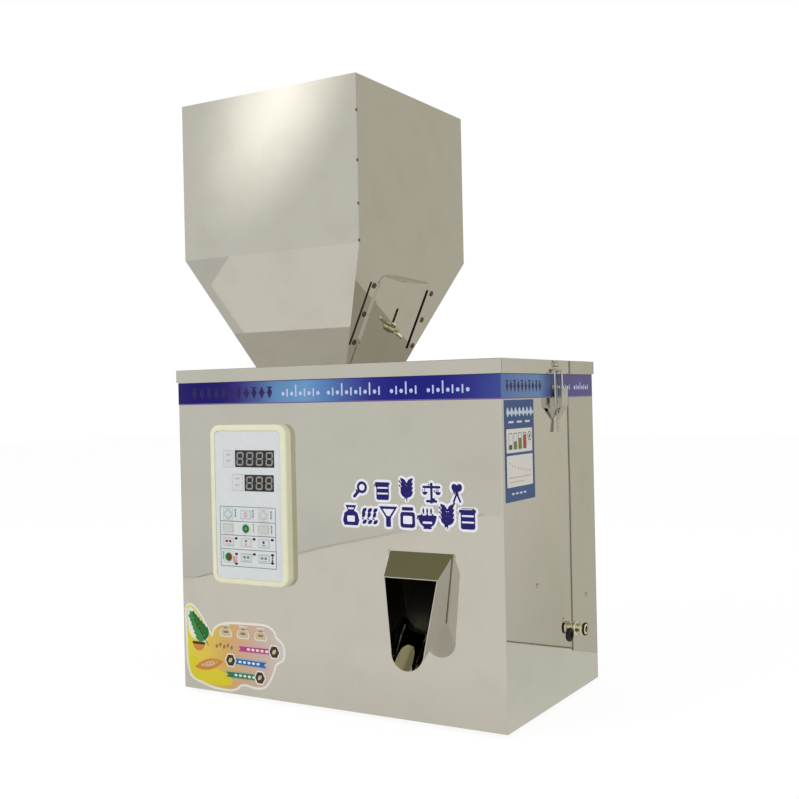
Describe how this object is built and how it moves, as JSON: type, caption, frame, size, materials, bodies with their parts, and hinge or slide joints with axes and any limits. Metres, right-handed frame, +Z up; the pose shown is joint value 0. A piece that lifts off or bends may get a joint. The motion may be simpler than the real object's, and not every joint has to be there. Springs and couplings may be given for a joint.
{
  "type": "powder filling machine",
  "caption": "Bench-top powder filling machine: square hopper on a latched lid, vibrating feeder, weigh bucket, front keypad and discharge chute.",
  "frame": {"origin": "on the floor, under the middle of the machine's outline", "axes": "+Z up, the front with keypad and chute faces -Y, the latch and sockets seen in the picture are on +X"},
  "size_m": [0.4245, 0.278, 0.657],
  "materials": {
    "stainless_mirror": "mirror-polished stainless sheet",
    "stainless_satin": "mill-finish stainless sheet",
    "plated_steel": "bright nickel-plated steel",
    "black_rubber": "moulded rubber",
    "cream_plastic": "cream moulded ABS",
    "face_film": "printed polyester film",
    "smoked_window": "smoked acrylic",
    "display_block": "black display block",
    "circuit_board": "green circuit board",
    "brass_standoff": "turned brass",
    "zinc_bracket": "zinc-plated sheet steel",
    "spring_leaf": "glass-fibre leaf",
    "cast_block": "painted casting",
    "magnet_core": "varnished core plates",
    "cell_aluminium": "milled aluminium",
    "key_face": "printed film key",
    "key_green": "printed film key",
    "key_two_tone": "printed film key"
  },
  "bodies": {
    "machine_body": {"base_plate": "stainless_satin", "board_standoffs": "brass_standoff", "cable_grommet": "black_rubber", "case_screws": "plated_steel", "casing": "stainless_mirror", "control_bezel": "cream_plastic", "control_board": "circuit_board", "control_overlay": "face_film", "discharge_chute": "stainless_mirror", "display_modules": "display_block", "display_windows": "smoked_window", "door_pins": "plated_steel", "door_solenoid": "zinc_bracket", "drive_base": "cast_block", "drive_magnet": "magnet_core", "feeder_bench": "zinc_bracket", "foot_switch_socket": "plated_steel", "inner_slide": "stainless_satin", "latch_base_left": "plated_steel", "latch_base_right": "plated_steel", "latch_pins": "plated_steel", "leaf_springs": "spring_leaf", "load_cell": "cell_aluminium", "load_cell_post": "zinc_bracket", "power_board": "circuit_board", "rear_panel": "stainless_mirror", "rubber_feet": "black_rubber", "rubber_mounts": "black_rubber", "transformer": "magnet_core", "weigh_bucket": "stainless_satin"},
    "lid_and_hopper": {"lid": "stainless_mirror", "hopper": "stainless_mirror", "gate_rails": "stainless_mirror", "gate_rivets": "plated_steel", "gate_stud": "plated_steel", "latch_catches": "plated_steel"},
    "flow_gate": {"gate_plate": "stainless_mirror"},
    "clamp_nut": {"wing_nut": "plated_steel"},
    "lever_right": {"latch_lever_right": "plated_steel"},
    "lever_left": {"latch_lever_left": "plated_steel"},
    "bail_right": {"latch_bail_right": "plated_steel"},
    "bail_left": {"latch_bail_left": "plated_steel"},
    "trough": {"feeder_trough": "stainless_satin", "trough_carrier": "zinc_bracket"},
    "door_left": {"bucket_door_left": "stainless_satin"},
    "door_right": {"bucket_door_right": "stainless_satin"},
    "plunger": {"solenoid_plunger": "plated_steel"},
    "button_1_1": {"key_1_1": "key_face"},
    "button_1_2": {"key_1_2": "key_face"},
    "button_1_3": {"key_1_3": "key_face"},
    "button_2_1": {"key_2_1": "key_face"},
    "button_2_2": {"key_2_2": "key_green"},
    "button_2_3": {"key_2_3": "key_face"},
    "button_3_1": {"key_3_1": "key_face"},
    "button_3_2": {"key_3_2": "key_face"},
    "button_3_3": {"key_3_3": "key_face"},
    "button_4_1": {"key_4_1": "key_two_tone"},
    "button_4_2": {"key_4_2": "key_face"},
    "button_4_3": {"key_4_3": "key_face"}
  },
  "joints": [
    {"name": "lid_lift", "type": "slide", "parent": "machine_body", "child": "lid_and_hopper", "axis": [0, 0, 1], "range_m": [0, 0.12]},
    {"name": "gate_slide", "type": "slide", "parent": "lid_and_hopper", "child": "flow_gate", "axis": [-0.4113, 0, -0.9115], "range_m": [0, 0.021]},
    {"name": "wing_nut_turn", "type": "hinge", "parent": "lid_and_hopper", "child": "clamp_nut", "pos_m": [0.00722, 0.015, 0.4047], "axis": [0.9115, 0, -0.4113], "continuous": true},
    {"name": "latch_right", "type": "hinge", "parent": "machine_body", "child": "lever_right", "pos_m": [0.2075, 0.025, 0.327], "axis": [0, -1, 0], "range_deg": [0, 150]},
    {"name": "latch_left", "type": "hinge", "parent": "machine_body", "child": "lever_left", "pos_m": [-0.2075, 0.025, 0.327], "axis": [0, 1, 0], "range_deg": [0, 150]},
    {"name": "bail_right_swing", "type": "hinge", "parent": "lever_right", "child": "bail_right", "pos_m": [0.205, 0.025, 0.315], "axis": [0, -1, 0], "range_deg": [-130.5, 0]},
    {"name": "bail_left_swing", "type": "hinge", "parent": "lever_left", "child": "bail_left", "pos_m": [-0.205, 0.025, 0.315], "axis": [0, 1, 0], "range_deg": [-130.5, 0]},
    {"name": "trough_shake", "type": "slide", "parent": "machine_body", "child": "trough", "axis": [0.9397, 0, 0.342], "range_m": [-0.0008, 0.0008], "stiffness_N_per_m": 40000, "deforming": ["leaf_springs"]},
    {"name": "door_left_swing", "type": "hinge", "parent": "machine_body", "child": "door_left", "pos_m": [0.0854, -0.013, 0.2225], "axis": [0, 1, 0], "range_deg": [0, 60], "stiffness_Nm_per_rad": 0.02, "springref_deg": -20.05},
    {"name": "door_right_swing", "type": "hinge", "parent": "machine_body", "child": "door_right", "pos_m": [0.1354, -0.013, 0.2225], "axis": [0, 1, 0], "range_deg": [-60, 0], "stiffness_Nm_per_rad": 0.02, "springref_deg": 20.05},
    {"name": "plunger_pull", "type": "slide", "parent": "machine_body", "child": "plunger", "axis": [-1, 0, 0], "range_m": [0, 0.01]},
    {"name": "press_1_1", "type": "slide", "parent": "machine_body", "child": "button_1_1", "axis": [0, 1, 0], "range_m": [0, 0.0003], "stiffness_N_per_m": 3000, "springref_m": -0.0002},
    {"name": "press_1_2", "type": "slide", "parent": "machine_body", "child": "button_1_2", "axis": [0, 1, 0], "range_m": [0, 0.0003], "stiffness_N_per_m": 3000, "springref_m": -0.0002},
    {"name": "press_1_3", "type": "slide", "parent": "machine_body", "child": "button_1_3", "axis": [0, 1, 0], "range_m": [0, 0.0003], "stiffness_N_per_m": 3000, "springref_m": -0.0002},
    {"name": "press_2_1", "type": "slide", "parent": "machine_body", "child": "button_2_1", "axis": [0, 1, 0], "range_m": [0, 0.0003], "stiffness_N_per_m": 3000, "springref_m": -0.0002},
    {"name": "press_2_2", "type": "slide", "parent": "machine_body", "child": "button_2_2", "axis": [0, 1, 0], "range_m": [0, 0.0003], "stiffness_N_per_m": 3000, "springref_m": -0.0002},
    {"name": "press_2_3", "type": "slide", "parent": "machine_body", "child": "button_2_3", "axis": [0, 1, 0], "range_m": [0, 0.0003], "stiffness_N_per_m": 3000, "springref_m": -0.0002},
    {"name": "press_3_1", "type": "slide", "parent": "machine_body", "child": "button_3_1", "axis": [0, 1, 0], "range_m": [0, 0.0003], "stiffness_N_per_m": 3000, "springref_m": -0.0002},
    {"name": "press_3_2", "type": "slide", "parent": "machine_body", "child": "button_3_2", "axis": [0, 1, 0], "range_m": [0, 0.0003], "stiffness_N_per_m": 3000, "springref_m": -0.0002},
    {"name": "press_3_3", "type": "slide", "parent": "machine_body", "child": "button_3_3", "axis": [0, 1, 0], "range_m": [0, 0.0003], "stiffness_N_per_m": 3000, "springref_m": -0.0002},
    {"name": "press_4_1", "type": "slide", "parent": "machine_body", "child": "button_4_1", "axis": [0, 1, 0], "range_m": [0, 0.0003], "stiffness_N_per_m": 3000, "springref_m": -0.0002},
    {"name": "press_4_2", "type": "slide", "parent": "machine_body", "child": "button_4_2", "axis": [0, 1, 0], "range_m": [0, 0.0003], "stiffness_N_per_m": 3000, "springref_m": -0.0002},
    {"name": "press_4_3", "type": "slide", "parent": "machine_body", "child": "button_4_3", "axis": [0, 1, 0], "range_m": [0, 0.0003], "stiffness_N_per_m": 3000, "springref_m": -0.0002}
  ],
  "couplings": [
    {"joint": "bail_right_swing", "follows": "latch_right", "ratio": -0.87},
    {"joint": "bail_left_swing", "follows": "latch_left", "ratio": -0.87},
    {"joint": "door_right_swing", "follows": "door_left_swing", "ratio": -1},
    {"joint": "plunger_pull", "follows": "door_left_swing", "m_per_rad": 0.0095}
  ]
}
